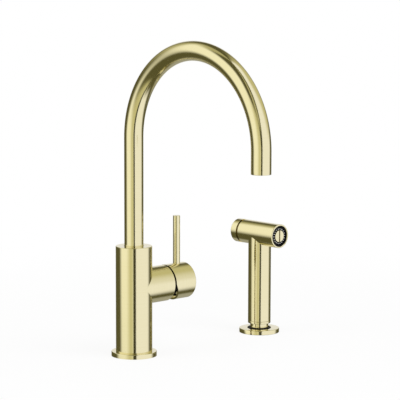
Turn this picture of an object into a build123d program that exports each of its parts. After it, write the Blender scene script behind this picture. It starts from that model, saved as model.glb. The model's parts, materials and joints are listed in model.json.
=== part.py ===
from build123d import *
import os
from math import cos, radians, sin, tan

# Single-lever kitchen mixer with a side spray, in millimetres.
# z = 0 is the worktop. The column stands on the Z axis, the spout reaches towards -Y,
# and the handle and the side spray lie towards +X.

# column, stub and spout
column_r = 21.0
column_top = 127.2
flange_r = 26.2
flange_top = 5.3
stub_z = 78.9
stub_end = 45.5
spout_r = 11.0
spout_wall = 1.2
spout_reach = 205.0
arch_base = 252.0
outlet_z = 228.0

# handle
pivot_x = 45.6
cap_start = 47.5
cap_end = 78.1
cap_slant = 25.0
pin_r = 4.13
pin_x = 65.9
pin_top = 155.9
stem_side = 8.0

# side spray
spray_x = 202.4
holder_r = 24.3
holder_top = 5.2
holder_mouth_r = 14.3
handset_r = 13.8
handset_base = 11.3
handset_seam = 14.1
neck_r = 11.0
head_r = 14.3
head_z = 121.0
head_front = -34.2
head_back = 24.2
button_front = 27.0
button_back = 36.1
face_r = 12.3
nozzle_count = 18
nozzle_circle = 8.8

# worktop fixing: hollow threaded shanks through a worktop 30 mm thick
shank_r = 16.0
shank_bore_r = 13.4
shank_end = -48.0
worktop = 30.0
gasket_thick = 3.0
washer_thick = 1.6
nut_thick = 7.5
nut_across_flats = 40.0
nut_crown_r = 22.2
nut_crown_edge = 1.2
gasket_r = 24.0
washer_r = 25.0

# gaps and thin features used over and over
seat_gap = 0.05
fit_gap = 0.1
running_gap = 0.08
free_gap = 0.35
edge = 0.6
fine_edge = 0.3
past = 1.0  # how far a cutter runs past the face that it opens

# shell and spout seat
shell_bore_r = 18.4
shell_roof = 4.0
core_r = 18.2
core_foot = 8.0
core_top = 108.0
shank_depth = 12.0
spigot_r = 10.4
spigot_foot = 100.6
spigot_step = 110.4
spigot_head = 122.0
spigot_bore_r = 6.8
spigot_seat = 100.0
tube_foot = 110.5
glide_ring_top = 110.2
set_screw_z = 117.5
set_screw_r = 2.0
set_screw_tip_r = 1.2
hex_r = 1.0
hex_depth = 2.0
ring_cord_r = 0.95
ring_heights = (103.4, 106.4)
ring_groove_r = 8.5
half_groove = 1.6
groove_depth = 0.5

# water ports in the core: hot, cold and spray hose from below, and the cartridge's three
port_circle = 8.0
port_thread_r = 4.5
port_thread_depth = 12.0
drilling_r = 2.75
inlet_drop = 4.9
outlet_rise = 9.1
core_flat = 14.0
port_angles = (60, -60, 180)
hose_drilling_x = -6.0

# diverter
diverter_bore_r = 8.4
diverter_foot = 84.5
diverter_top = 98.0
sleeve_r = diverter_bore_r - fit_gap
sleeve_bore_r = 6.5
valve_lip_r = 5.0
valve_lip = (90.5, 91.7)
piston_r = 5.9
piston_foot = 93.0
piston_shoulder = 94.5
piston_top = 98.5
piston_stem_r = 1.5
diverter_spring_r = (3.0, 2.0)

# cartridge, measured along X
cartridge_r = 17.4
chamber_r = 15.0
cartridge_shoulder = 40.7
ball_x = 33.2
ball_r = 3.2

along_x = Plane(origin=(0, 0, stub_z), x_dir=(0, 1, 0), z_dir=(1, 0, 0))
along_head = Plane(origin=(spray_x, 0, head_z), x_dir=(1, 0, 0), z_dir=(0, 1, 0))
at_spray = Pos(spray_x, 0, 0)


def turned(*corners, soften=(), by=edge):
    """A solid of revolution about Z from (radius, height) corners, some of them rounded."""
    outline = make_face(Polyline(*[(r, 0, h) for r, h in corners], close=True))
    for index in soften:
        r, h = corners[index]
        corner = outline.vertices().sort_by_distance((r, 0, h))[0]
        outline = fillet(corner, by)
    return revolve(outline, Axis.Z)


def rod(radius, start, end, x=0, y=0):
    base = (Align.CENTER, Align.CENTER, Align.MIN)
    return Pos(x, y, start) * Cylinder(radius, end - start, align=base)


def ring(outer, inner, start, end):
    return turned((inner, start), (outer, start), (outer, end), (inner, end))


def square_bar(side, start, end):
    return Pos(0, 0, (start + end) / 2) * Box(side, side, end - start)


def around(radius, angles):
    return [(radius * cos(radians(a)), radius * sin(radians(a))) for a in angles]


def o_ring(inner_r, cord_r, height):
    return Pos(0, 0, height) * Torus(inner_r + cord_r, cord_r)


def upright_at(x):
    return Pos(x, 0, 0)


# column and worktop

seal_depth = 1.2
flange_seal = (24.0, 19.5)
holder_seal_size = (22.5, 18.5)


def base_flange():
    hole = shank_r + free_gap
    disc = turned((hole, 0), (flange_r, 0), (flange_r, flange_top), (hole, flange_top), soften=(2,))
    return disc - ring(*flange_seal, 0, seal_depth)


def seal_in(groove):
    outer, inner = groove
    return ring(outer - seat_gap, inner + seat_gap, 0, seal_depth - seat_gap)


def column_shell():
    shell = turned((0, flange_top), (column_r, flange_top), (column_r, column_top),
                   (0, column_top), soften=(2,))
    shell -= rod(shell_bore_r, flange_top, column_top - shell_roof)
    shell -= rod(spout_r + free_gap, core_top, column_top)
    shell -= along_x * rod(cartridge_r + 2 * seat_gap, 0, stub_end)
    return shell - set_screw_bore()


def side_stub():
    # its foot is cut to the round of the column, where the two are brazed together
    bore_r = cartridge_r + 2 * seat_gap
    thread_r = nut_thread_r + seat_gap
    stub = turned((bore_r, 0), (column_r, 0), (column_r, stub_end), (thread_r, stub_end),
                  (thread_r, cartridge_shoulder), (bore_r, cartridge_shoulder), soften=(2,))
    return along_x * stub - rod(column_r, stub_z - column_r - past, stub_z + column_r + past)


def set_screw_bore():
    behind = Plane(origin=(0, 0, set_screw_z), x_dir=(1, 0, 0), z_dir=(0, 1, 0))
    return behind * rod(set_screw_r + seat_gap, spout_r, column_r + past)


def port_places():
    # hot, cold, spray hose
    return around(port_circle, port_angles)


def cartridge_places():
    # the cartridge's ports in its own plane: hot, cold, mixed
    side = port_circle * sin(radians(60))
    return [(side, -inlet_drop), (-side, -inlet_drop), (0, outlet_rise)]


def water_core():
    core = rod(core_r, core_foot, core_top)
    core -= rod(shank_r, core_foot, core_foot + shank_depth)
    ceiling = core_foot + shank_depth
    drill_start = ceiling + port_thread_depth
    for x, y in port_places():
        core -= rod(port_thread_r, ceiling, drill_start, x, y)
    for x, y in port_places()[:2]:
        core -= rod(drilling_r, drill_start, stub_z - inlet_drop, x, y)
    core -= rod(drilling_r, drill_start, diverter_foot + past, hose_drilling_x)
    for (y, rise), start in zip(cartridge_places(), (port_circle / 2, port_circle / 2, 0)):
        core -= along_x * rod(drilling_r, start, core_flat, y, rise)
    seat = 2 * (cartridge_r + past)
    core -= Pos(core_flat + core_r / 2, 0, stub_z) * Box(core_r, 2 * core_r, seat)
    core -= rod(diverter_bore_r, diverter_foot, spigot_seat)
    return core - rod(spigot_r + 2 * seat_gap, spigot_seat, core_top)


def mounting_shank():
    top = core_foot + shank_depth - seat_gap
    return turned((shank_bore_r, shank_end), (shank_r - seat_gap, shank_end),
                  (shank_r - seat_gap, top), (shank_bore_r, top), soften=(1,))


def both_fixings(piece):
    return Compound([*piece.solids(), *(at_spray * piece).solids()])


def under_gasket():
    return ring(gasket_r, shank_r + free_gap, -worktop - gasket_thick, -worktop)


def under_washer():
    top = -worktop - gasket_thick
    return ring(washer_r, shank_r + free_gap, top - washer_thick, top)


def shank_nut():
    top = -worktop - gasket_thick - washer_thick
    hexagon = RegularPolygon(nut_across_flats / 2, 6, major_radius=False)
    foot = top - nut_thick
    nut = Pos(0, 0, foot) * extrude(hexagon, nut_thick)
    nut &= turned((0, foot), (nut_crown_r, foot), (nut_crown_r, top), (0, top),
                  soften=(1,), by=nut_crown_edge)
    return nut - rod(shank_r, foot, top)


# spout seat and diverter

def spout_glide_ring():
    return ring(shell_bore_r - free_gap, spigot_r + free_gap, core_top + seat_gap, glide_ring_top)


def spout_bush():
    foot = tube_foot + 0.5
    top = column_top - shell_roof - 0.2
    bush = ring(shell_bore_r - 2 * seat_gap, spout_r + running_gap, foot, top)
    return bush - set_screw_bore()


def hex_socket(top):
    return Pos(0, 0, top - hex_depth) * extrude(RegularPolygon(hex_r, 6, major_radius=False), hex_depth)


def spout_set_screw():
    behind = Plane(origin=(0, 0, set_screw_z), x_dir=(1, 0, 0), z_dir=(0, 1, 0))
    tip_start = spout_r - 0.15
    shoulder = spout_r + 1.6
    back = column_r - 0.6
    screw = rod(set_screw_r, shoulder, back) + rod(set_screw_tip_r, tip_start, shoulder)
    return behind * (screw - hex_socket(back))


def diverter_sleeve():
    foot = diverter_foot + fit_gap
    lip_low, lip_high = valve_lip
    sleeve = turned((sleeve_bore_r, foot), (sleeve_r, foot), (sleeve_r, diverter_top),
                    (sleeve_bore_r, diverter_top), (sleeve_bore_r, lip_high),
                    (valve_lip_r, lip_high), (valve_lip_r, lip_low), (sleeve_bore_r, lip_low))
    window_r = 2.5
    window = Plane(origin=(0, 0, stub_z + outlet_rise), x_dir=(0, 1, 0), z_dir=(1, 0, 0))
    return sleeve - window * rod(window_r, 0, diverter_bore_r)


def diverter_cap():
    thick, hole_r, hole_circle = 1.6, 1.6, 5.0
    top = diverter_top + thick
    cap = ring(sleeve_r, piston_stem_r + free_gap, diverter_top + seat_gap, top)
    for x, y in around(hole_circle, range(0, 360, 90)):
        cap -= rod(hole_r, diverter_top, top, x, y)
    return cap


def diverter_spring():
    return ring(*diverter_spring_r, piston_shoulder + 2 * seat_gap, diverter_top)


def diverter_piston():
    return turned((0, piston_foot), (piston_r, piston_foot), (piston_r, piston_shoulder),
                  (piston_stem_r, piston_shoulder), (piston_stem_r, piston_top), (0, piston_top))


def diverter_seal():
    return rod(piston_r - fit_gap, valve_lip[1] + seat_gap, piston_foot)


# spout

def spout_path(foot):
    crown = arch_base + spout_reach / 2
    rise = Line((0, 0, foot), (0, 0, arch_base))
    arch = ThreePointArc((0, 0, arch_base), (0, -spout_reach / 2, crown), (0, -spout_reach, arch_base))
    drop = Line((0, -spout_reach, arch_base), (0, -spout_reach, outlet_z))
    return rise + arch + drop


def spout_tube():
    section = Circle(spout_r) - Circle(spout_r - spout_wall)
    tube = sweep(Pos(0, 0, tube_foot) * section, path=spout_path(tube_foot))
    low, high = set_screw_z - half_groove, set_screw_z + half_groove
    return tube - ring(spout_r + past, spout_r - groove_depth, low, high)


def spout_spigot():
    inside = spout_r - spout_wall - seat_gap
    spigot = turned((spigot_bore_r, spigot_foot), (spigot_r, spigot_foot), (spigot_r, spigot_step),
                    (inside, spigot_step), (inside, spigot_head), (spigot_bore_r, spigot_head),
                    soften=(1,), by=fine_edge)
    half_width = ring_cord_r + 0.15
    for height in ring_heights:
        spigot -= ring(spigot_r + past, ring_groove_r, height - half_width, height + half_width)
    return spigot


def spout_o_rings():
    inner = spigot_r + seat_gap - 2 * ring_cord_r
    return Compound([o_ring(inner, ring_cord_r, z).solid() for z in ring_heights])


aerator_top = 241.0
aerator_r = spout_r - spout_wall - seat_gap
aerator_wall_r = 8.9
aerator_lip_r = 8.3
aerator_lip = 1.2
mesh_hole_r = 0.8
mesh_pitch = 2.3


def at_outlet(piece):
    return Pos(0, -spout_reach, 0) * piece


def aerator_housing():
    low = outlet_z + fine_edge
    return at_outlet(turned((aerator_lip_r, low), (aerator_r, low), (aerator_r, aerator_top),
                            (aerator_wall_r, aerator_top), (aerator_wall_r, low + aerator_lip),
                            (aerator_lip_r, low + aerator_lip)))


def aerator_insert():
    low = outlet_z + fine_edge + aerator_lip + fit_gap
    high = aerator_top - 1.5
    insert = rod(aerator_wall_r - seat_gap, low, high) - rod(mesh_hole_r, low, high)
    for row in (1, 2, 3):
        for x, y in around(row * mesh_pitch, [60 / row * k for k in range(6 * row)]):
            insert -= rod(mesh_hole_r, low, high, x, y)
    return at_outlet(insert)


def aerator_seal():
    hole_r, thick = 7.0, 2.0
    return at_outlet(ring(aerator_r, hole_r, aerator_top + seat_gap, aerator_top + thick))


# cartridge, along X in the stub

nut_thread_r = 18.5
nut_bore_r = 14.0
nut_collar_r = 16.6
nut_end = 49.5
nut_slot_width = 3.2
nut_slot_depth = 2.4
base_gap = 0.5
base_step = 20.0
disc_seat = 23.0
disc_thick = 3.0
disc_plane = disc_seat + disc_thick
slide_r = 9.3
carrier_end = 34.2
rotor_start = 34.6
rotor_flange_end = 38.4
rotor_neck_r = 12.2
rotor_end = 49.0
dome_r = 18.6
dome_wall = 1.3
dome_reach = 14.0
seal_pocket_r = 4.2
seal_pocket = 1.5
seal_hole_r = 2.9
carrier_step_r = 6.4
carrier_step = 1.6
neck_end_x = 46.0
rotor_slot = (-6.8, 9.0)
pivot_r = 1.5
pivot_half = 11.4
pivot_bore_half = 13.0


def port_drillings(radius, start, end):
    return [rod(radius, start, end, x, y) for x, y in cartridge_places()]


def cartridge_base():
    start = core_flat + base_gap
    base = turned((0, start), (cartridge_r, start), (cartridge_r, base_step),
                  (chamber_r - fit_gap, base_step), (chamber_r - fit_gap, disc_seat), (0, disc_seat))
    base -= port_drillings(drilling_r, start, disc_seat)
    base -= port_drillings(seal_pocket_r, start, start + seal_pocket)
    return along_x * base


def cartridge_seals():
    start = core_flat + seat_gap
    end = core_flat + base_gap + seal_pocket - seat_gap
    seal = ring(seal_pocket_r - fit_gap, seal_hole_r, start, end)
    return Compound([(along_x * Pos(x, y, 0) * seal).solid() for x, y in cartridge_places()])


def cartridge_housing():
    foot = base_step + seat_gap
    roof = cartridge_shoulder - 2
    neck_r = nut_bore_r - 2 * fit_gap
    lip_r = rotor_neck_r + fit_gap
    return along_x * turned(
        (chamber_r, foot), (cartridge_r, foot), (cartridge_r, cartridge_shoulder),
        (neck_r, cartridge_shoulder), (neck_r, neck_end_x), (lip_r, neck_end_x),
        (lip_r, roof), (chamber_r, roof))


def fixed_ceramic_disc():
    disc = rod(chamber_r - 2 * fit_gap, disc_seat + seat_gap, disc_plane)
    return along_x * (disc - port_drillings(drilling_r, disc_seat, disc_plane))


def moving_ceramic_disc():
    start = disc_plane + seat_gap
    disc = rod(slide_r, start, start + disc_thick)
    return along_x * (disc - rod(carrier_step_r, start, start + carrier_step))


def disc_carrier():
    start = disc_plane + seat_gap + disc_thick
    carrier = rod(slide_r, start, carrier_end)
    socket = square_bar(2 * (ball_r + free_gap), ball_x - ball_r - free_gap, carrier_end)
    return along_x * (carrier - socket)


def cartridge_rotor():
    rotor = turned((0, rotor_start), (chamber_r - running_gap, rotor_start),
                   (chamber_r - running_gap, rotor_flange_end), (rotor_neck_r, rotor_flange_end),
                   (rotor_neck_r, rotor_end), (0, rotor_end))
    low, high = rotor_slot
    slot = Box(stem_side + 6 * fit_gap, high - low, rotor_end - rotor_start + 2 * past)
    rotor -= Pos(0, (low + high) / 2, (rotor_start + rotor_end) / 2) * slot
    return along_x * rotor - pivot_rod(pivot_r + 0.02, pivot_bore_half)


def pivot_rod(radius, half_length):
    across = Plane(origin=(pivot_x, 0, stub_z), x_dir=(1, 0, 0), z_dir=(0, 1, 0))
    return across * rod(radius, -half_length, half_length)


def lever_pivot_pin():
    return pivot_rod(pivot_r, pivot_half)


def cartridge_nut():
    start = cartridge_shoulder + seat_gap
    step = stub_end + fit_gap
    nut = turned((nut_bore_r, start), (nut_thread_r, start), (nut_thread_r, step),
                 (nut_collar_r, step), (nut_collar_r, nut_end), (nut_bore_r, nut_end))
    spanner_slot = Box(2 * nut_thread_r, nut_slot_width, 2 * nut_slot_depth)
    for turn in (0, 90):
        nut -= Rot(0, 0, turn) * Pos(0, 0, nut_end) * spanner_slot
    return along_x * nut


def trim_dome():
    dome = Pos(0, 0, pivot_x) * (Sphere(dome_r) - Sphere(dome_r - dome_wall))
    foot = stub_end + fit_gap + seat_gap
    dome &= rod(dome_r + past, foot, pivot_x + dome_reach)
    opening = (dome_r ** 2 - dome_reach ** 2) ** 0.5
    return along_x * (dome - rod(opening, foot, pivot_x + dome_reach))


# handle

socket_end = 73.6
boss_start = 61.0
wall_start = 64.0
pin_seat = stub_z + 19.4
pin_tail_r = 2.0
pin_tail_end = stub_z + 12.5
lock_screw_x = 69.5
lock_screw_length = 10.0
stem_neck_r = 2.6
bar_start = 42.0
step_rise = 11.0


def cartridge_stem():
    ball = Pos(0, 0, ball_x) * Sphere(ball_r)
    bar = square_bar(stem_side, bar_start, socket_end - fit_gap)
    stem = ball + rod(stem_neck_r, ball_x, bar_start) + bar
    return along_x * stem - pivot_rod(pivot_r + 0.06, pivot_bore_half)


def handle_cap():
    cap = along_x * turned((0, cap_start), (column_r, cap_start), (column_r, cap_end),
                           (0, cap_end), soften=(2,))
    bore_r = dome_r + free_gap
    # under the pin the wall stays thicker, so that its tail has metal to sit in
    boss = Box(3 * bore_r, bore_r, 2 * (wall_start - boss_start))
    step = rod(bore_r, boss_start - 0.01, wall_start)
    step -= Pos(0, bore_r / 2 + step_rise, (boss_start + wall_start) / 2) * boss
    cap -= along_x * rod(bore_r, cap_start, boss_start)
    cap -= along_x * step
    cap -= along_x * square_bar(stem_side + fit_gap, wall_start - past, socket_end)
    cap -= slanted_cut()
    cap -= rod(pin_tail_r + seat_gap, pin_tail_end - 0.4, pin_top, pin_x)
    cap -= rod(pin_r + seat_gap, pin_seat, pin_top, pin_x)
    return cap - rod(set_screw_r + seat_gap, stub_z - column_r, stub_z - stem_side / 2, lock_screw_x)


def slanted_cut():
    drop = column_r + past
    corners = [(cap_start - past, stub_z), (cap_start, stub_z),
               (cap_start + drop * tan(radians(cap_slant)), stub_z - drop),
               (cap_start - past, stub_z - drop)]
    outline = make_face(Polyline(*[(x, 0, z) for x, z in corners], close=True))
    return extrude(outline, drop, both=True)


def lever_pin():
    pin = turned((0, pin_tail_end), (pin_tail_r, pin_tail_end), (pin_tail_r, pin_seat + seat_gap),
                 (pin_r, pin_seat + seat_gap), (pin_r, pin_top), (0, pin_top), soften=(4,), by=0.4)
    return upright_at(pin_x) * pin


def handle_set_screw():
    top = stub_z - stem_side / 2 - fit_gap
    foot = top - lock_screw_length
    screw = rod(set_screw_r, foot, top) - hex_socket(foot + hex_depth)
    return upright_at(lock_screw_x) * screw


# side spray: holder and dock

holder_bore_r = 13.2
dock_floor = 2.0
dock_foot = -20.0
dock_ledge = -6.05
dock_lip_top = 6.0
hose_way_r = 9.8


def spray_holder():
    holder = turned((holder_bore_r, shank_end), (shank_r - seat_gap, shank_end),
                    (shank_r - seat_gap, 0), (holder_r, 0), (holder_r, holder_top),
                    (holder_mouth_r, holder_top), (holder_mouth_r, dock_floor),
                    (holder_bore_r, dock_floor), soften=(4,))
    return at_spray * (holder - ring(*holder_seal_size, 0, seal_depth))


def dock_bush():
    lip_r = holder_mouth_r - 0.4
    side = holder_bore_r - fit_gap
    bore_r = neck_r + 0.06
    step = dock_floor + seat_gap
    return at_spray * turned(
        (hose_way_r, dock_foot), (side, dock_foot), (side, step), (lip_r, step),
        (lip_r, dock_lip_top), (bore_r, dock_lip_top), (bore_r, dock_ledge),
        (hose_way_r, dock_ledge), soften=(4,), by=fine_edge)


# side spray: handset

handset_bore_r = 11.8
hose_thread_r = 7.5
hose_thread_end = -17.0
neck_end = -6.0
joint_top = 22.0
spigot_way_r = 5.6
waterway_r = 5.0
waterway_top = 111.0
waterway_bore_r = 3.8
waterway_seal_thick = 2.95
seam_gap = 0.2
face_bevel = 0.5
face_bevel_depth = 0.8
valve_flap_r = (2.4, 5.5, 3.6, 1.5, 0.7)
valve_heights = (2.0, 4.0, 11.0)


def spray_handle():
    # its top is cut to the round of the head, where the two are brazed together
    tube = at_spray * ring(handset_r, handset_bore_r, handset_seam + seam_gap, head_z)
    return tube - along_head * rod(head_r, head_front, head_back)


def spray_head():
    head = turned((face_r, head_front), (head_r, head_front), (head_r, head_back),
                  (face_r, head_back), soften=(1,))
    bevel = turned((0, head_front), (face_r + face_bevel, head_front),
                   (face_r, head_front + face_bevel_depth), (0, head_front + face_bevel_depth))
    head = along_head * (head - bevel)
    return head - at_spray * rod(handset_bore_r, head_z - head_r - past, head_z)


def spray_spigot():
    thread_r = handset_bore_r - fit_gap
    bore_r = spigot_way_r
    return at_spray * turned(
        (bore_r, hose_thread_end), (hose_thread_r, hose_thread_end), (hose_thread_r, neck_end),
        (neck_r, neck_end), (neck_r, handset_base), (handset_r, handset_base),
        (handset_r, handset_seam), (thread_r, handset_seam), (thread_r, joint_top),
        (bore_r, joint_top), soften=(5, 3), by=0.4)


def check_valve():
    # a duckbill: a rim, and lips that narrow to a small opening
    inner_r, rim_r, root_r, lip_r, mouth_r = valve_flap_r
    foot, rim_top, tip = valve_heights
    return at_spray * turned((inner_r, foot), (rim_r, foot), (rim_r, rim_top), (root_r, rim_top),
                             (lip_r, tip), (mouth_r, tip), (inner_r, rim_top))


def waterway_tube():
    return at_spray * ring(waterway_r, waterway_bore_r, joint_top + seat_gap, waterway_top)


def waterway_seal():
    foot = joint_top + seat_gap
    return at_spray * ring(handset_bore_r - 2 * fit_gap, waterway_r + seat_gap, foot, foot + waterway_seal_thick)


# the valve in the head, measured along Y
block_r = face_r - fit_gap
block_front = -16.0
block_back = 11.0
back_pocket_r = 10.9
valve_chamber_r = 6.2
chamber_front = -5.0
chamber_back = 7.5
valve_seat = 6.0
valve_seat_r = 4.0
screw_thread_r = 3.0
screw_thread_depth = 4.0
jet_r = 1.2
jet_angles = (30, -30, -90, -150, -210)
stem_r = 2.0
stem_front = 2.0
stem_back = 35.0
stem_head_r = 4.2
stem_head_back = 3.55
stem_seal_r = 5.0
stem_seal_thick = 1.6
washer_outer_r = 5.4
guide_neck_r = 11.6
guide_step = 21.0
guide_end = 29.0
spring_seat = 18.0
spring_r = (5.2, 4.1)
spring_pocket_r = 5.6
button_floor = 33.2
button_bore_r = 12.0
button_boss_r = 3.6
button_boss_front = 29.5


def valve_block():
    block = rod(block_r, block_front, block_back)
    block -= rod(back_pocket_r, chamber_back, block_back)
    block -= rod(valve_seat_r, valve_seat, chamber_back)
    block -= rod(valve_chamber_r, chamber_front, valve_seat)
    block -= rod(screw_thread_r + seat_gap, block_front, block_front + screw_thread_depth)
    for x, y in around(nozzle_circle, jet_angles):
        block -= rod(jet_r, block_front, chamber_back, x, y)
    block = along_head * block
    block -= at_spray * rod(waterway_bore_r, head_z - block_r, head_z)
    socket = rod(waterway_r + seat_gap, head_z - block_r - past, waterway_top + 2 * seat_gap)
    return block - at_spray * socket


def button_guide():
    start = block_back + seat_gap
    bore_r = stem_r + running_gap
    return along_head * turned(
        (bore_r, start), (block_r, start), (block_r, guide_step), (guide_neck_r, guide_step),
        (guide_neck_r, guide_end), (spring_pocket_r, guide_end), (spring_pocket_r, spring_seat),
        (bore_r, spring_seat))


def stem_seal():
    return along_head * ring(stem_seal_r, stem_r + running_gap, block_back - stem_seal_thick, block_back)


def button_spring():
    return along_head * ring(*spring_r, spring_seat + seat_gap, button_floor - 2 * seat_gap)


def button_stem():
    return along_head * turned((0, stem_front), (stem_head_r, stem_front),
                               (stem_head_r, stem_head_back), (stem_r, stem_head_back),
                               (stem_r, stem_back), (0, stem_back))


def valve_washer():
    front = stem_head_back + seat_gap
    return along_head * ring(washer_outer_r, stem_r + seat_gap, front, valve_seat - seat_gap)


def spray_button():
    bore_r = stem_r + seat_gap
    stem_end = stem_back + 2 * seat_gap
    button = turned((bore_r, button_boss_front), (button_boss_r, button_boss_front),
                    (button_boss_r, button_floor), (button_bore_r, button_floor),
                    (button_bore_r, button_front), (head_r, button_front), (head_r, button_back),
                    (0, button_back), (0, stem_end), (bore_r, stem_end), soften=(6,))
    return along_head * button


# the spray face
mat_r = 11.9
mat_front = -29.0
mat_thick = 1.4
plate_front = -31.2
plate_floor = -32.2
plate_lip_front = -33.9
plate_lip_r = 11.0
disc_pocket_r = 7.5
tip_front = -33.3
tip_r = 0.5
tip_root_r = 0.66
tip_hole_r = 0.75
gasket_bore_r = 10.2
gasket_depth = 1.8
disc_r = 7.2
disc_front = -33.8
disc_edge = 0.5
slot_width = 1.9
slot_depth = 1.9


def nozzle_places():
    return around(nozzle_circle, [360 / nozzle_count * k for k in range(nozzle_count)])


def nozzle_mat():
    mat = ring(mat_r, screw_thread_r + 2 * fit_gap, mat_front, mat_front + mat_thick)
    root = mat_front + 2 * fit_gap
    tip = turned((0, root), (0, tip_front), (tip_r, tip_front), (tip_root_r, root))
    for x, y in nozzle_places():
        mat += Pos(x, y, 0) * tip
    return along_head * mat


def spray_plate():
    # a dish: a pocket for the disc, a floor that the nozzle tips come through, and a lip
    bore_r = screw_thread_r + fit_gap
    back = mat_front - seat_gap
    plate = turned((bore_r, plate_front), (disc_pocket_r, plate_front), (disc_pocket_r, plate_floor),
                   (plate_lip_r, plate_floor), (plate_lip_r, plate_lip_front),
                   (block_r, plate_lip_front), (block_r, back), (bore_r, back))
    for x, y in nozzle_places():
        plate -= rod(tip_hole_r, plate_floor - past, mat_front, x, y)
    return along_head * plate


def plate_gasket():
    front = mat_front + mat_thick + seat_gap
    return along_head * ring(block_r, gasket_bore_r, front, front + gasket_depth)


def face_screw():
    back = plate_front - seat_gap
    tip = block_front + screw_thread_depth - past
    screw = turned((0, disc_front), (disc_r, disc_front), (disc_r, back), (screw_thread_r, back),
                   (screw_thread_r, tip), (0, tip), soften=(1,), by=disc_edge)
    slot = Pos(0, 0, disc_front) * Box(slot_width, 2 * (disc_r + past), 2 * slot_depth)
    return along_head * (screw - slot)


parts = {
    "base_flange": base_flange(),
    "base_seal": seal_in(flange_seal),
    "column_shell": column_shell(),
    "side_stub": side_stub(),
    "water_core": water_core(),
    "mounting_shank": mounting_shank(),
    "deck_gaskets": both_fixings(under_gasket()),
    "deck_washers": both_fixings(under_washer()),
    "shank_nuts": both_fixings(shank_nut()),
    "spout_glide_ring": spout_glide_ring(),
    "spout_bush": spout_bush(),
    "spout_set_screw": spout_set_screw(),
    "diverter_sleeve": diverter_sleeve(),
    "diverter_cap": diverter_cap(),
    "diverter_spring": diverter_spring(),
    "diverter_piston": diverter_piston(),
    "diverter_seal": diverter_seal(),
    "spout_tube": spout_tube(),
    "spout_spigot": spout_spigot(),
    "spout_o_rings": spout_o_rings(),
    "aerator_housing": aerator_housing(),
    "aerator_insert": aerator_insert(),
    "aerator_seal": aerator_seal(),
    "cartridge_base": cartridge_base(),
    "cartridge_seals": cartridge_seals(),
    "cartridge_housing": cartridge_housing(),
    "fixed_ceramic_disc": fixed_ceramic_disc(),
    "moving_ceramic_disc": moving_ceramic_disc(),
    "disc_carrier": disc_carrier(),
    "cartridge_rotor": cartridge_rotor(),
    "lever_pivot_pin": lever_pivot_pin(),
    "cartridge_nut": cartridge_nut(),
    "trim_dome": trim_dome(),
    "cartridge_stem": cartridge_stem(),
    "handle_cap": handle_cap(),
    "lever_pin": lever_pin(),
    "handle_set_screw": handle_set_screw(),
    "spray_holder": spray_holder(),
    "holder_seal": at_spray * seal_in(holder_seal_size),
    "dock_bush": dock_bush(),
    "spray_handle": spray_handle(),
    "spray_head": spray_head(),
    "spray_spigot": spray_spigot(),
    "check_valve": check_valve(),
    "waterway_tube": waterway_tube(),
    "waterway_seal": waterway_seal(),
    "valve_block": valve_block(),
    "button_guide": button_guide(),
    "stem_seal": stem_seal(),
    "button_spring": button_spring(),
    "button_stem": button_stem(),
    "valve_washer": valve_washer(),
    "spray_button": spray_button(),
    "nozzle_mat": nozzle_mat(),
    "spray_plate": spray_plate(),
    "plate_gasket": plate_gasket(),
    "face_screw": face_screw(),
}

os.makedirs("parts", exist_ok=True)
for name, shape in parts.items():
    export_step(shape, f"parts/{name}.step")
    print(f"{name}: {len(shape.solids())} solid(s), {shape.volume:.1f} mm3")
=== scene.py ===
import json
import math
import bpy
import bmesh
from mathutils import Matrix, Vector


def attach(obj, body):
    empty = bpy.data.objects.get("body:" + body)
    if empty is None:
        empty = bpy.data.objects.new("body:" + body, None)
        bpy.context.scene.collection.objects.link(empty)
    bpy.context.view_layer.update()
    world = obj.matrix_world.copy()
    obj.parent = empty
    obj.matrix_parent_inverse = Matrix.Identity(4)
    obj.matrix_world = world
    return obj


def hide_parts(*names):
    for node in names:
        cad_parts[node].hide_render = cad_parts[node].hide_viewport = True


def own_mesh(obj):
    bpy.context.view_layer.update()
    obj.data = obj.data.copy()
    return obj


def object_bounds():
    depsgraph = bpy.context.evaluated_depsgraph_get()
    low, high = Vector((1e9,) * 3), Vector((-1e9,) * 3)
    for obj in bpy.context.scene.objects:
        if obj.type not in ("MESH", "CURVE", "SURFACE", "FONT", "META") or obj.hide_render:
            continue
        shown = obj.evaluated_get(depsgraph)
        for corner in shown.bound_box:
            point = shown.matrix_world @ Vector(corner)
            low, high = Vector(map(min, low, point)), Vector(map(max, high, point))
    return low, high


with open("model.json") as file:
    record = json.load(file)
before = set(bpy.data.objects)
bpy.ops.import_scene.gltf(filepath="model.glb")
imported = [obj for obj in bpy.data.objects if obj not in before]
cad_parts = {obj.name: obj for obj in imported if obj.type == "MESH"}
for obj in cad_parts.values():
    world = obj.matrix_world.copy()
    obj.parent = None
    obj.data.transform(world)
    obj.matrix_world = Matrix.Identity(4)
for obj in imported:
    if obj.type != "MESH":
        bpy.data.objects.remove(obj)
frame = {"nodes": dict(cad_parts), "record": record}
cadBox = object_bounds()
nodes = frame["nodes"]
bodies = frame["record"]["behaviour"]["bodies"]
bodyOf = {node: body for body, members in bodies.items() for node in members}
print("frame loaded:", len(nodes), "nodes")

mm = 0.001

# where the parts' axes lie, in millimetres: the stub and cap above the worktop, the lever pin and
# the spray to the right of the column, the head above the worktop, the outlet before the column
stubHeight = 78.9
pinAcross = 65.9
sprayAcross = 202.4
headHeight = 121.0
outletAlong = -205.0


def metres(x=0.0, y=0.0, z=0.0):
    return (x * mm, y * mm, z * mm)


# node trees

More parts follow.
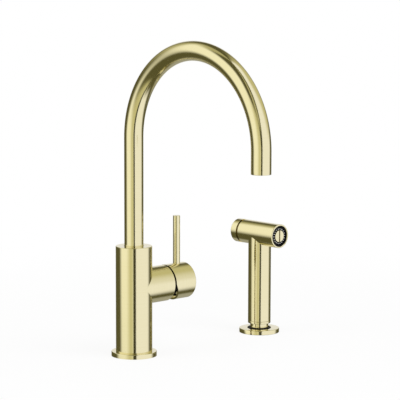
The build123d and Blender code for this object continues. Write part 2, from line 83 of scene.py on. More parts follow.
class Wire:
    # a node's output; sums and products of wires add Math nodes
    def __init__(self, graph, socket):
        self.graph = graph
        self.socket = socket

    def out(self, name):
        return Wire(self.graph, pick(self.socket.node.outputs, name))

    def math(self, operation, *others):
        values = dict(enumerate((self, *others)))
        return self.graph.add("ShaderNodeMath", {"operation": operation}, values)

    def __add__(self, other):
        return self.math("ADD", other)

    def __sub__(self, other):
        return self.math("SUBTRACT", other)

    def __mul__(self, other):
        return self.math("MULTIPLY", other)

    def __truediv__(self, other):
        return self.math("DIVIDE", other)

    def __rsub__(self, other):
        return self.graph.add("ShaderNodeMath", {"operation": "SUBTRACT"}, {0: other, 1: self})

    def __rtruediv__(self, other):
        return self.graph.add("ShaderNodeMath", {"operation": "DIVIDE"}, {0: other, 1: self})

    __radd__ = __add__
    __rmul__ = __mul__

    def step(self, low, high):
        # 0 below low, 1 above high, smooth between
        sockets = {"Value": self, "From Min": low, "From Max": high}
        return self.graph.add("ShaderNodeMapRange", {"interpolation_type": "SMOOTHSTEP"}, sockets)


def pick(sockets, key):
    if isinstance(key, int):
        return sockets[key]
    for socket in sockets:
        if socket.identifier == key:
            return socket
    return sockets[key]


class Graph:
    # a shader or geometry tree that is filled node by node
    def __init__(self, tree):
        self.tree = tree
        tree.nodes.clear()

    def add(self, kind, settings=None, sockets=None):
        node = self.tree.nodes.new(kind)
        for name, value in (settings or {}).items():
            setattr(node, name, value)
        for key, value in (sockets or {}).items():
            target = pick(node.inputs, key)
            if isinstance(value, Wire):
                self.tree.links.new(value.socket, target)
            else:
                target.default_value = value
        return Wire(self, node.outputs[0]) if len(node.outputs) else None

    def mix(self, factor, first, second):
        sockets = {"Factor_Float": factor, "A_Color": first, "B_Color": second}
        return self.add("ShaderNodeMix", {"data_type": "RGBA"}, sockets).out("Result_Color")

    def noise(self, vector, scale, detail, dimensions="3D"):
        key = "W" if dimensions == "1D" else "Vector"
        sockets = {key: vector, "Scale": scale, "Detail": detail}
        return self.add("ShaderNodeTexNoise", {"noise_dimensions": dimensions}, sockets)


def rgb(red, green, blue):
    return (red, green, blue, 1.0)


def grey(level):
    return (level, level, level, 1.0)


# camera, at the photograph's angle: in degrees and metres, and the lens in millimetres

cameraView = {
    "azimuth": -43.151,
    "elevation": 7.758,
    "roll": 0.144,
    "distance": 2.344,
    "aimRight": 0.0753,
    "aimHeight": 0.1801,
    "lens": 185.27,
    "farthest": 50,
}


def cameraAxes(azimuth, elevation):
    a = math.radians(azimuth)
    e = math.radians(elevation)
    right = Vector((math.cos(a), math.sin(a), 0))
    back = Vector((math.sin(a) * math.cos(e), -math.cos(a) * math.cos(e), math.sin(e)))
    return right, back.cross(right), back


def addCamera(view):
    data = bpy.data.cameras.new("camera")
    data.lens = view["lens"]
    data.clip_end = view["farthest"]
    camera = bpy.data.objects.new("camera", data)
    bpy.context.scene.collection.objects.link(camera)
    right, up, back = cameraAxes(view["azimuth"], view["elevation"])
    place = right * view["aimRight"] + Vector((0, 0, view["aimHeight"])) + back * view["distance"]
    r = math.radians(view["roll"])
    across = right * math.cos(r) + up * math.sin(r)
    above = up * math.cos(r) - right * math.sin(r)
    turn = Matrix((across, above, back)).transposed().to_4x4()
    camera.matrix_world = Matrix.Translation(place) @ turn
    bpy.context.scene.camera = camera


# studio, in metres: white backdrop, pale floor, a light tent that the metal reflects, and two
# soft lamps

studio = {
    "floorRadius": 1.6,
    "floorFacets": 96,
    "floorDrop": 0.2 * mm,        # just under the flanges
    "floorColour": grey(0.95),
    "floorWhite": 0.88,           # the share of white round the object; the rest takes its shadow
    "floorFade": (0.30, 0.85),    # how far out the floor turns all white
    "worldLevel": 0.55,
    "tentRadius": 12.0,
    "tentRings": 24,
    "tentSegments": 48,
    "lampAim": (0.1, -0.05, 0.15),
    "lampSize": 1.6,
}
lamps = [
    {"name": "keyLamp", "place": (0.4, -1.6, 2.2), "watts": 26},
    {"name": "fillLamp", "place": (-1.5, 0.4, 1.6), "watts": 12},
]


def shownRays(graph, path):
    # 1 for the rays that show the backdrop itself
    seen = path.out("Is Camera Ray") + path.out("Is Glossy Ray") + path.out("Is Transmission Ray")
    return seen.math("MINIMUM", 1.0)


def addWorld():
    world = bpy.data.worlds.new("studio")
    bpy.context.scene.world = world
    world.use_nodes = True
    graph = Graph(world.node_tree)
    seen = shownRays(graph, graph.add("ShaderNodeLightPath"))
    level = seen * (1.0 - studio["worldLevel"]) + studio["worldLevel"]
    light = graph.add("ShaderNodeBackground", {}, {"Color": grey(1.0), "Strength": level})
    graph.add("ShaderNodeOutputWorld", {}, {"Surface": light})


def meshObject(name, points, faces, smooth=True):
    mesh = bpy.data.meshes.new(name)
    mesh.from_pydata(points, [], faces)
    mesh.update()
    if smooth:
        mesh.shade_smooth()
    piece = bpy.data.objects.new(name, mesh)
    bpy.context.scene.collection.objects.link(piece)
    return piece


def addFloor():
    count = studio["floorFacets"]
    radius = studio["floorRadius"]
    middle = (cadBox[0] + cadBox[1]) / 2
    angles = [2 * math.pi * i / count for i in range(count)]
    rim = [(middle.x + radius * math.cos(a), middle.y + radius * math.sin(a), -studio["floorDrop"])
           for a in angles]
    floor = meshObject("floor", rim, [tuple(range(count))], smooth=False)
    material = bpy.data.materials.new("paleFloor")
    material.use_nodes = True
    graph = Graph(material.node_tree)
    lit = graph.add("ShaderNodeBsdfDiffuse", {}, {"Color": studio["floorColour"]})
    white = graph.add("ShaderNodeEmission", {}, {"Color": grey(1.0), "Strength": 1.0})
    path = graph.add("ShaderNodeLightPath")
    place = graph.add("ShaderNodeTexCoord").out("Object")
    away = graph.add("ShaderNodeVectorMath", {"operation": "DISTANCE"}, {0: place, 1: middle})
    fade = away.out("Value").step(*studio["floorFade"]) * (1.0 - studio["floorWhite"])
    share = shownRays(graph, path) * (fade + studio["floorWhite"])
    surface = graph.add("ShaderNodeMixShader", {}, {0: share, 1: lit, 2: white})
    graph.add("ShaderNodeOutputMaterial", {}, {"Surface": surface})
    floor.data.materials.append(material)
    floor.visible_glossy = False


# the tints of the tent's cloths, and the cloth behind all cards
neutral = (1.0, 0.995, 1.01)
cream = (1.0, 0.985, 0.86)
yellow = (1.0, 0.95, 0.56)
olive = (1.0, 0.93, 0.40)
tentBase = {"light": 0.11, "cloth": olive}

# cards of light and dark cloth on the tent, each laid over those before it: degrees to the right
# of the camera and above the horizon, softness of the four edges in that order, the light that
# the card gives, its cloth, and how far its sides lean; bothSides lays it on the left too
tentCards = [
    {"name": "paleBack", "across": (162, 200), "up": (-24, 25), "bothSides": True,
     "soft": (8, 8, 9, 9), "light": 0.88, "cloth": neutral},
    {"name": "backTop", "across": (95, 152), "up": (18, 95), "bothSides": True,
     "soft": (14, 14, 12, 12), "light": 0.50, "cloth": yellow},
    {"name": "lowBack", "across": (130, 200), "up": (-62, -26), "bothSides": True,
     "soft": (10, 10, 9, 9), "light": 0.40, "cloth": cream},
    {"name": "leftLow", "across": (-72, -3), "up": (-70, -8),
     "soft": (14, 14, 14, 14), "light": 0.56, "cloth": yellow, "lean": -0.6},
    {"name": "leftWall", "across": (-97, -3), "up": (-18, 52),
     "soft": (13, 13, 9, 9), "light": 1.06, "cloth": cream, "lean": -0.75},
    {"name": "leftDim", "across": (-33, -3), "up": (-60, 28),
     "soft": (18, 18, 10, 10), "light": 0.66, "cloth": yellow},
    {"name": "rightWall", "across": (13, 111), "up": (-62, 95),
     "soft": (2.5, 14, 10, 10), "light": 1.0, "cloth": neutral, "lean": 0.32},
    {"name": "rightFade", "across": (92, 150), "up": (8, 60),
     "soft": (24, 24, 10, 10), "light": 0.62, "cloth": yellow},
    {"name": "gap", "across": (-3, 13), "up": (-95, 95),
     "soft": (2.2, 2.2, 8, 8), "light": 0.045, "cloth": olive},
    {"name": "gapTop", "across": (-3, 13), "up": (16, 95),
     "soft": (2.2, 2.2, 8, 8), "light": 0.50, "cloth": yellow},
]


def addTent():
    bm = bmesh.new()
    bmesh.ops.create_uvsphere(bm, u_segments=studio["tentSegments"], v_segments=studio["tentRings"],
                              radius=studio["tentRadius"])
    mesh = bpy.data.meshes.new("lightTent")
    bm.to_mesh(mesh)
    bm.free()
    dome = bpy.data.objects.new("lightTent", mesh)
    bpy.context.scene.collection.objects.link(dome)
    middle = (cadBox[0] + cadBox[1]) / 2
    dome.matrix_world = Matrix.Translation(middle) @ Matrix.Rotation(
        math.radians(cameraView["azimuth"]), 4, "Z")
    dome.data.materials.append(tentLight())
    dome.visible_camera = False
    dome.visible_diffuse = False
    dome.visible_transmission = False
    dome.visible_shadow = False


def tentLight():
    material = bpy.data.materials.new("tentLight")
    material.use_nodes = True
    material.cycles.emission_sampling = "NONE"
    graph = Graph(material.node_tree)
    place = graph.add("ShaderNodeTexCoord").out("Object")
    aim = graph.add("ShaderNodeVectorMath", {"operation": "NORMALIZE"}, {0: place})
    axes = graph.add("ShaderNodeSeparateXYZ", {}, {0: aim})
    toDegrees = 180 / math.pi
    azimuth = axes.out("X").math("ARCTAN2", axes.out("Y") * -1.0) * toDegrees
    elevation = axes.out("Z").math("ARCSINE") * toDegrees
    colour = clothLight(tentBase)
    for card in tentCards:
        colour = graph.mix(cardMask(card, azimuth, elevation), colour, clothLight(card))
    light = graph.add("ShaderNodeEmission", {}, {"Color": colour, "Strength": 1.0})
    graph.add("ShaderNodeOutputMaterial", {}, {"Surface": light})
    return material


def clothLight(card):
    return rgb(*[card["light"] * part for part in card["cloth"]])


def cardMask(card, azimuth, elevation):
    near, far = card["across"]
    low, high = card["up"]
    softNear, softFar, softLow, softHigh = card["soft"]
    if card.get("bothSides"):
        azimuth = azimuth.math("ABSOLUTE")
    azimuth = azimuth - elevation * card.get("lean", 0.0)
    mask = azimuth.step(near - softNear, near + softNear)
    mask = mask * (1.0 - azimuth.step(far - softFar, far + softFar))
    mask = mask * elevation.step(low - softLow, low + softLow)
    return mask * (1.0 - elevation.step(high - softHigh, high + softHigh))


def addLamp(lamp):
    data = bpy.data.lights.new(lamp["name"], "AREA")
    data.shape = "DISK"
    data.size = studio["lampSize"]
    data.energy = lamp["watts"]
    light = bpy.data.objects.new(lamp["name"], data)
    bpy.context.scene.collection.objects.link(light)
    place = Vector(lamp["place"])
    turn = (Vector(studio["lampAim"]) - place).to_track_quat("-Z", "Y").to_matrix().to_4x4()
    light.matrix_world = Matrix.Translation(place) @ turn
    light.visible_glossy = False


bpy.context.scene.view_settings.view_transform = "Standard"
addCamera(cameraView)
addWorld()
addFloor()
addTent()
for lamp in lamps:
    addLamp(lamp)
print("studio ready")


# finishes

def newFinish(name):
    material = bpy.data.materials.new(name)
    material.use_nodes = True
    return material, Graph(material.node_tree)


def setSurface(graph, colour, roughness, metallic=0.0, normal=None, **constant):
    sockets = {"Base Color": colour, "Roughness": roughness, "Metallic": metallic}
    if normal is not None:
        sockets["Normal"] = normal
    sockets.update({key.replace("_", " "): value for key, value in constant.items()})
    shader = graph.add("ShaderNodeBsdfPrincipled", {}, sockets)
    graph.add("ShaderNodeOutputMaterial", {}, {"Surface": shader})


brushed = {
    "bright": rgb(0.84, 0.78, 0.52),
    "deep": rgb(0.82, 0.755, 0.485),
    # painted shade: the base colour inside the screw's slot
    "slot": rgb(0.30, 0.25, 0.12),
    "roughness": 0.12,
    "roughnessSpread": 0.04,
    "slotRoughness": 0.3,         # added in the slot
    "linesPerMm": 2.2,
    "lineDetail": 2.0,
    "lineDepth": 0.0005 * mm,
    "lineFilter": 0.1,
    "streaksPerMm": 0.6,
    "streakDetail": 3.0,
    "streakStart": 37.0,          # so that the streaks don't follow the lines
    "streakShare": 0.45,          # of the tone; the clouds give the rest
    "cloudsPerMetre": 22.0,
    "cloudDetail": 3.0,
    "toneRange": (0.30, 0.70),
    "slotShadeEdge": (0.02 * mm, 0.01 * mm),
}


def brushedBrass(name, centre, axis, attribute=None, shadedSlotWidth=None):
    # turned and brushed: fine lines run round the axis, on the sides and on the flat faces, and
    # inside a slot of that width the metal is made rougher and painted darker as painted shade
    material, graph = newFinish(name)
    place = graph.add("ShaderNodeTexCoord").out("Object")
    if attribute:
        reach = graph.add("ShaderNodeAttribute", {"attribute_name": attribute}).out("Fac")
    else:
        aside = graph.add("ShaderNodeVectorMath", {"operation": "SUBTRACT"}, {0: place, 1: centre})
        parts = graph.add("ShaderNodeSeparateXYZ", {}, {0: aside})
        across = [parts.out(a) for a in "XYZ" if a != axis]
        radial = (across[0] * across[0] + across[1] * across[1]).math("SQRT")
        reach = parts.out(axis) + radial
    reach = reach * (1 / mm)
    lines = graph.noise(reach, brushed["linesPerMm"], brushed["lineDetail"], "1D")
    streaks = graph.noise(
        reach + brushed["streakStart"], brushed["streaksPerMm"], brushed["streakDetail"], "1D")
    clouds = graph.noise(place, brushed["cloudsPerMetre"], brushed["cloudDetail"])
    share = brushed["streakShare"]
    tone = (streaks * share + clouds * (1 - share)).step(*brushed["toneRange"])
    colour = graph.mix(tone, brushed["bright"], brushed["deep"])
    roughness = (streaks * 0.5 + lines * 0.5) * brushed["roughnessSpread"] + (
        brushed["roughness"] - brushed["roughnessSpread"] / 2)
    # painted shade: the slot's metal is darkened in its base colour, and made rougher
    if shadedSlotWidth:
        before, after = brushed["slotShadeEdge"]
        fromMiddle = parts.out("X").math("ABSOLUTE")
        slot = 1.0 - fromMiddle.step(shadedSlotWidth / 2 - before, shadedSlotWidth / 2 + after)
        colour = graph.mix(slot, colour, brushed["slot"])
        roughness = roughness + slot * brushed["slotRoughness"]
    normal = graph.add("ShaderNodeBump", {}, {
        "Strength": 1.0, "Distance": brushed["lineDepth"], "Filter Width": brushed["lineFilter"],
        "Height": lines})
    setSurface(graph, colour, roughness, 1.0, normal)
    return material


turned = {
    "cloudsPerMetre": 60.0,
    "cloudDetail": 4.0,
    "marksPerMetre": 900.0,
    "markDetail": 2.0,
    "markDepth": 0.01 * mm,
    "markStrength": 0.4,
    "toneRange": (0.35, 0.68),
    "roughnessSpread": 0.12,
}


def turnedMetal(name, bright, dark, roughness):
    # plain machined metal with a faint tool finish
    material, graph = newFinish(name)
    place = graph.add("ShaderNodeTexCoord").out("Object")
    clouds = graph.noise(place, turned["cloudsPerMetre"], turned["cloudDetail"])
    marks = graph.noise(place, turned["marksPerMetre"], turned["markDetail"])
    colour = graph.mix(clouds.step(*turned["toneRange"]), bright, dark)
    normal = graph.add("ShaderNodeBump", {}, {
        "Strength": turned["markStrength"], "Distance": turned["markDepth"], "Height": marks})
    spread = turned["roughnessSpread"]
    setSurface(graph, colour, clouds * spread + (roughness - spread / 2), 1.0, normal)
    return material


moulded = {
    "grainPerMetre": 2600.0,
    "grainDetail": 3.0,
    "grainDepth": 0.02 * mm,
    "grainStrength": 0.5,
    "cloudsPerMetre": 90.0,
    "cloudDetail": 3.0,
    "wearRange": (0.4, 0.7),
    "roughnessSpread": 0.15,
    "roughnessDrop": 0.07,
}


def mouldedPlastic(name, colour, worn, roughness, gloss=0.5):
    material, graph = newFinish(name)
    place = graph.add("ShaderNodeTexCoord").out("Object")
    grain = graph.noise(place, moulded["grainPerMetre"], moulded["grainDetail"])
    clouds = graph.noise(place, moulded["cloudsPerMetre"], moulded["cloudDetail"])
    tint = graph.mix(clouds.step(*moulded["wearRange"]), colour, worn)
    normal = graph.add("ShaderNodeBump", {}, {
        "Strength": moulded["grainStrength"], "Distance": moulded["grainDepth"], "Height": grain})
    rough = grain * moulded["roughnessSpread"] + (roughness - moulded["roughnessDrop"])
    setSurface(graph, tint, rough, 0.0, normal, Specular_IOR_Level=gloss)
    return material


headMiddle = metres(sprayAcross, 0, headHeight)
screwSlotWidth = 1.9 * mm
brassOnZ = brushedBrass("brushedBrassColumn", metres(), "Z")
brassOnX = brushedBrass("brushedBrassHandle", metres(z=stubHeight), "X")
brassPin = brushedBrass("brushedBrassPin", metres(pinAcross), "Z")
brassSpray = brushedBrass("brushedBrassSpray", metres(sprayAcross), "Z")
brassHead = brushedBrass("brushedBrassHead", headMiddle, "Y")
# the screw's finish has painted shade in its slot
brassScrewShadedSlot = brushedBrass("brushedBrassScrewShadedSlot", headMiddle, "Y", shadedSlotWidth=screwSlotWidth)

plainMetals = {
    "plainBrass": {
        "bright": rgb(0.62, 0.52, 0.28), "dark": rgb(0.50, 0.41, 0.21), "roughness": 0.36},
    # painted shade: brass painted dark for the button guide, which shows only in its groove
    "grooveShadeBrass": {
        "bright": rgb(0.34, 0.27, 0.12), "dark": rgb(0.26, 0.20, 0.09), "roughness": 0.45},
    "stainlessSteel": {
        "bright": rgb(0.66, 0.65, 0.63), "dark": rgb(0.56, 0.55, 0.53), "roughness": 0.30},
}
mouldings = {
    "blackPlastic": {
        "colour": grey(0.005), "worn": grey(0.009), "roughness": 0.55, "gloss": 0.10},
    "palePlastic": {
        "colour": rgb(0.80, 0.79, 0.75), "worn": rgb(0.74, 0.73, 0.68), "roughness": 0.45},
    "blackRubber": {
        "colour": grey(0.025), "worn": grey(0.04), "roughness": 0.7},
    "greySilicone": {
        "colour": rgb(0.80, 0.80, 0.79), "worn": rgb(0.72, 0.72, 0.71), "roughness": 0.5},
    "whiteCeramic": {
        "colour": rgb(0.86, 0.85, 0.82), "worn": rgb(0.82, 0.81, 0.78), "roughness": 0.22},
}
plainBrass, grooveShadeBrass, stainless = [
    turnedMetal(name, **values) for name, values in plainMetals.items()]
blackPlastic, palePlastic, blackRubber, greySilicone, whiteCeramic = [
    mouldedPlastic(name, **values) for name, values in mouldings.items()]

# the finish of each material slot, and of the nodes that differ from their slot's
slotFinish = {
    "brushed_brass": brassOnZ, "plain_brass": plainBrass, "stainless_steel": stainless,
    "black_plastic": blackPlastic, "pale_plastic": palePlastic, "black_rubber": blackRubber,
    "grey_silicone": greySilicone, "white_ceramic": whiteCeramic,
}
nodeFinish = {
    "side_stub": brassOnX, "handle_cap": brassOnX, "lever_pin": brassPin,
    "spray_holder": brassSpray, "spray_handle": brassSpray, "spray_spigot": brassSpray,
    "spray_head": brassHead, "spray_button": brassHead, "face_screw": brassScrewShadedSlot,
    # the button guide's groove gets painted shade
    "button_guide": grooveShadeBrass,
}
print("finishes mixed")


# making pieces

mergeDistance = 0.0005 * mm
sharpAngles = {"turned": 40, "wound": 50, "tips": 60, "honeycomb": 30}   # degrees


def markSharp(mesh, kind):
    mesh.set_sharp_from_angle(angle=math.radians(sharpAngles[kind]))


def tidyMesh(mesh, kind="turned"):
    # closes seams and poles, turns faces outward and keeps crisp corners
    bm = bmesh.new()
    bm.from_mesh(mesh)
    bmesh.ops.remove_doubles(bm, verts=bm.verts, dist=mergeDistance)
    bmesh.ops.recalc_face_normals(bm, faces=bm.faces)
    bm.to_mesh(mesh)
    bm.free()
    mesh.shade_smooth()
    markSharp(mesh, kind)


def turnedPiece(name, corners, material, centre=(0, 0, 0), axis="Z", around=96):
    # a solid turned from a closed outline of (radius, height) corners, in millimetres
    points = []
    faces = []
    count = len(corners)
    for i in range(around):
        angle = 2 * math.pi * i / around
        for radius, height in corners:
            x, y = radius * math.cos(angle), radius * math.sin(angle)
            corner = (x, y, height) if axis == "Z" else (x, height, y)
            points.append([(c + t) * mm for c, t in zip(centre, corner)])
        here = i * count
        beyond = (i + 1) % around * count
        for j in range(count):
            k = (j + 1) % count
            if corners[j][0] > 0 or corners[k][0] > 0:
                faces.append((here + j, here + k, beyond + k, beyond + j))
    piece = meshObject(name, points, faces)
    tidyMesh(piece.data)
    piece.data.materials.append(material)
    return piece


def newTree(name, sizes):
    # a geometry tree with a named input for each size, and one for the material
    tree = bpy.data.node_groups.new(name, "GeometryNodeTree")
    kinds = {int: "NodeSocketInt", float: "NodeSocketFloat"}
    tree.interface.new_socket("Geometry", in_out="OUTPUT", socket_type="NodeSocketGeometry")
    tree.interface.new_socket("Geometry", in_out="INPUT", socket_type="NodeSocketGeometry")
    for label, value in sizes.items():
        tree.interface.new_socket(label, in_out="INPUT", socket_type=kinds[type(value)])
    tree.interface.new_socket("Material", in_out="INPUT", socket_type="NodeSocketMaterial")
    graph = Graph(tree)
    return graph, graph.add("NodeGroupInput")


def closeTree(graph, entry, shape):
    real = graph.add("GeometryNodeRealizeInstances", {}, {"Geometry": shape})
    dressed = graph.add("GeometryNodeSetMaterial", {}, {
        "Geometry": real, "Material": entry.out("Material")})
    graph.add("NodeGroupOutput", {}, {0: dressed})
    return graph.tree


def plainMesh(piece):
    # the piece's modifiers are run once and taken off
    graph = bpy.context.evaluated_depsgraph_get()
    mesh = bpy.data.meshes.new_from_object(
        piece.evaluated_get(graph), preserve_all_data_layers=True, depsgraph=graph)
    piece.modifiers.clear()
    piece.data = mesh
    return piece


def grow(name, tree, sizes, material, start=None):
    piece = start or meshObject(name, [], [])
    modifier = piece.modifiers.new("growth", "NODES")
    modifier.node_group = tree
    values = {**sizes, "Material": material}
    for item in tree.interface.items_tree:
        if item.in_out == "INPUT" and item.name in values:
            modifier[item.identifier] = values[item.name]
    return plainMesh(piece)


def unite(piece, *others):
    bm = bmesh.new()
    for part in (piece, *others):
        bm.from_mesh(part.data)
    bm.to_mesh(piece.data)
    bm.free()
    for part in others:
        bpy.data.objects.remove(part)
    return piece


def shift(piece, x=0.0, y=0.0, z=0.0, swap=False):
    # moves the mesh itself; swap lays a piece made on Z along Y
    turn = Matrix.Rotation(math.radians(-90), 4, "X") if swap else Matrix.Identity(4)
    piece.data.transform(Matrix.Translation((x * mm, y * mm, z * mm)) @ turn)
    return piece


def standIn(piece, node):
    # the piece takes a CAD node's place on its body
    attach(piece, bodyOf[node])
    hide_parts(node)
    return piece


# gooseneck spout: a tube on an upright, an arch and a short drop

gooseneck = {
    "Tube Radius": 11.0 * mm,
    "Foot": 110.5 * mm,
    "Arch Base": 252.0 * mm,
    "Arch Radius": 102.5 * mm,
    "Outlet": 228.0 * mm,
    "Groove Height": 117.5 * mm,
    "Groove Half Width": 1.6 * mm,
    "Groove Depth": 0.5 * mm,
    "Rim Round": 0.3 * mm,
    "Facets": 96,
}
gooseneckWall = 1.2 * mm
finelyRinged = 11.2 * mm   # from the foot to past the groove
gooseneckRings = {"groove": 56, "upright": 20, "arch": 132, "drop": 6, "rim": 5}


def gooseneckTree(sizes):
    graph, entry = newTree("gooseneck", sizes)
    foot = entry.out("Foot")
    arch = entry.out("Arch Radius")
    rise = entry.out("Arch Base") - foot
    sweep = arch * math.pi
    total = rise + sweep + entry.out("Arch Base") - entry.out("Outlet")
    rim = entry.out("Rim Round")
    # the path's stretches, each with its own spacing of rings
    stretches = {"groove": finelyRinged, "upright": rise - finelyRinged, "arch": sweep,
                 "drop": total - rise - sweep - rim, "rim": rim}
    count = sum(gooseneckRings.values()) + 1
    index = graph.add("GeometryNodeInputIndex")
    along = 0.0
    first = 0
    for stretch, length in stretches.items():
        rings = gooseneckRings[stretch]
        share = ((index - first) / rings).math("MAXIMUM", 0.0).math("MINIMUM", 1.0)
        along = share * length + along
        first += rings
    angle = ((along - rise) / arch).math("MAXIMUM", 0.0).math("MINIMUM", math.pi)
    past = (along - rise - sweep).math("MAXIMUM", 0.0)
    y = (angle.math("COSINE") - 1.0) * arch
    z = foot + along.math("MINIMUM", rise) + angle.math("SINE") * arch - past
    place = graph.add("ShaderNodeCombineXYZ", {}, {"Y": y, "Z": z})
    fromGroove = (along - (entry.out("Groove Height") - foot)).math("ABSOLUTE")
    inGroove = fromGroove.math("LESS_THAN", entry.out("Groove Half Width"))
    nearRim = (rim - (total - along)).math("MAXIMUM", 0.0)
    rounding = rim - (rim * rim - nearRim * nearRim).math("MAXIMUM", 0.0).math("SQRT")
    radius = entry.out("Tube Radius") - inGroove * entry.out("Groove Depth") - rounding
    line = graph.add("GeometryNodeCurvePrimitiveLine", {"mode": "POINTS"}, {})
    path = graph.add("GeometryNodeResampleCurve", {"mode": "COUNT"}, {
        "Curve": line, "Count": count})
    path = graph.add("GeometryNodeStoreNamedAttribute", {"data_type": "FLOAT", "domain": "POINT"}, {
        "Geometry": path, "Name": "alongTube", "Value": along})
    path = graph.add("GeometryNodeSetPosition", {}, {"Geometry": path, "Position": place})
    profile = graph.add("GeometryNodeCurvePrimitiveCircle", {"mode": "RADIUS"}, {
        "Resolution": entry.out("Facets"), "Radius": 1.0})
    tube = graph.add("GeometryNodeCurveToMesh", {}, {
        "Curve": path, "Profile Curve": profile, "Scale": radius})
    return closeTree(graph, entry, tube)


brassSpout = brushedBrass("brushedBrassSpout", metres(), "Z", attribute="alongTube")
spout = grow("gooseneckSpout", gooseneckTree(gooseneck), gooseneck, brassSpout)
tidyMesh(spout.data)
wall = spout.modifiers.new("wall", "SOLIDIFY")
wall.thickness = gooseneckWall
wall.offset = -1
plainMesh(spout)
markSharp(spout.data, "turned")
standIn(spout, "spout_tube")
print("gooseneck spout made")


# coils and threads: one tree winds a wire or a ridge round the Z axis

thinEnd = 0.02   # of the wire's radius, where a thread runs out


def coilTree(sizes):
    graph, entry = newTree("coil", sizes)
    turns = entry.out("Turns")
    closed = entry.out("Closed Turns")
    wire = entry.out("Wire Radius") * 2.0
    turn = graph.add("GeometryNodeInputIndex") / entry.out("Facets")
    flat = turn.math("MINIMUM", closed) + (turn - (turns - closed)).math("MAXIMUM", 0.0)
    spread = (turn - closed).math("MAXIMUM", 0.0).math("MINIMUM", turns - closed * 2.0)
    pitch = (entry.out("Height") - closed * wire * 2.0) / (turns - closed * 2.0)
    angle = turn * (2 * math.pi)
    radius = entry.out("Coil Radius")
    place = graph.add("ShaderNodeCombineXYZ", {}, {
        "X": angle.math("COSINE") * radius, "Y": angle.math("SINE") * radius,
        "Z": flat * wire + spread * pitch})
    fade = (turn / entry.out("Run Out")).math("MINIMUM", 1.0)
    fade = fade * ((turns - turn) / entry.out("Run Out")).math("MINIMUM", 1.0)
    line = graph.add("GeometryNodeCurvePrimitiveLine", {"mode": "POINTS"}, {})
    path = graph.add("GeometryNodeResampleCurve", {"mode": "COUNT"}, {
        "Curve": line, "Count": turns * entry.out("Facets") + 1.0})
    path = graph.add("GeometryNodeSetPosition", {}, {"Geometry": path, "Position": place})
    path = graph.add("GeometryNodeSetCurveNormal", {"mode": "Z_UP"}, {"Curve": path})
    profile = graph.add("GeometryNodeCurvePrimitiveCircle", {"mode": "RADIUS"}, {
        "Resolution": entry.out("Wire Facets"), "Radius": 1.0})
    coiled = graph.add("GeometryNodeCurveToMesh", {}, {
        "Curve": path, "Profile Curve": profile, "Fill Caps": True,
        "Scale": entry.out("Wire Radius") * (fade * (1 - thinEnd) + thinEnd)})
    return closeTree(graph, entry, coiled)


buttonCoil = {
    "Coil Radius": 4.65 * mm,
    "Wire Radius": 0.55 * mm,
    "Height": 13.92 * mm,   # between the centres of the first and last wires
    "Turns": 7,
    "Closed Turns": 1.0,
    "Run Out": 0.02,
    "Facets": 40,
    "Wire Facets": 12,
}
diverterCoil = {
    "Coil Radius": 2.5 * mm,
    "Wire Radius": 0.14 * mm,
    "Height": 3.1 * mm,
    "Turns": 3,
    "Closed Turns": 0.5,
    "Run Out": 0.02,
    "Facets": 40,
    "Wire Facets": 10,
}
shankThread = {
    "Coil Radius": 15.2 * mm,
    "Wire Radius": 0.72 * mm,
    "Height": 45.0 * mm,
    "Turns": 30,
    "Closed Turns": 0.0,
    "Run Out": 0.6,
    "Facets": 60,
    "Wire Facets": 4,
}
hoseThread = {
    "Coil Radius": 7.02 * mm,
    "Wire Radius": 0.47 * mm,
    "Height": 9.0 * mm,
    "Turns": 9,
    "Closed Turns": 0.0,
    "Run Out": 0.6,
    "Facets": 48,
    "Wire Facets": 4,
}
coil = coilTree(buttonCoil)


def wound(name, sizes, material, x=0.0, y=0.0, z=0.0, swap=False):
    piece = shift(grow(name, coil, sizes, material), x, y, z, swap)
    tidyMesh(piece.data, "wound")
    return piece


# in millimetres: each spring's seat that stays still, and the centre of its first wire, half a
# wire and a little play from what it stands on
buttonSeat = 18.05
buttonStart = buttonSeat + 0.56
diverterPiston = 94.6
diverterStart = diverterPiston + 0.15

buttonSpring = wound("buttonSpring", buttonCoil, stainless,
                     sprayAcross, buttonStart, headHeight, swap=True)
standIn(buttonSpring, "button_spring")
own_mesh(buttonSpring)

diverterSpring = wound("diverterSpring", diverterCoil, stainless, 0, 0, diverterStart)
standIn(diverterSpring, "diverter_spring")
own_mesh(diverterSpring)
print("springs wound")


# threaded shanks: turned bodies with a ridge wound round them

def rounded(outer, top, by, steps=5):
    # corners of a rounded outer edge, from its side up to its top
    turns = [math.pi / 2 * i / steps for i in range(steps + 1)]
    return [(outer - by + by * math.cos(t), top - by + by * math.sin(t)) for t in turns]


# outlines of (radius, height) corners, and where the threads start, in millimetres
shankProfile = [
    (13.4, -48), (14.6, -48), (15.2, -47.4), (15.2, 7.4), (15.9, 8.1), (15.9, 19.9), (13.4, 19.9)]
holderProfile = [
    (13.2, -48), (14.6, -48), (15.2, -47.4), (15.2, 0), (18.5, 0), (18.5, 1.2), (22.5, 1.2),
    (22.5, 0), (24.0, 0), (24.3, 0.3), *rounded(24.3, 5.2, 0.6), (14.6, 5.2), (14.3, 4.9),
    (14.3, 2.0), (13.2, 2.0)]
spigotProfile = [
    (5.6, -17), (6.6, -17), (7.02, -16.6), (7.02, -6.6), (7.5, -6), (10.8, -6), (11, -5.8),
    (11, 11.3), (13.5, 11.3), (13.8, 11.6), *rounded(13.8, 14.1, 0.4), (11.7, 14.1),
    (11.7, 22), (5.6, 22)]
shankThreadFoot = -46.2
hoseThreadFoot = -16.2
sprayPlace = (sprayAcross, 0, 0)

shank = turnedPiece("threadedShank", shankProfile, plainBrass)
shank = unite(shank, wound("shankThread", shankThread, plainBrass, 0, 0, shankThreadFoot))
standIn(shank, "mounting_shank")

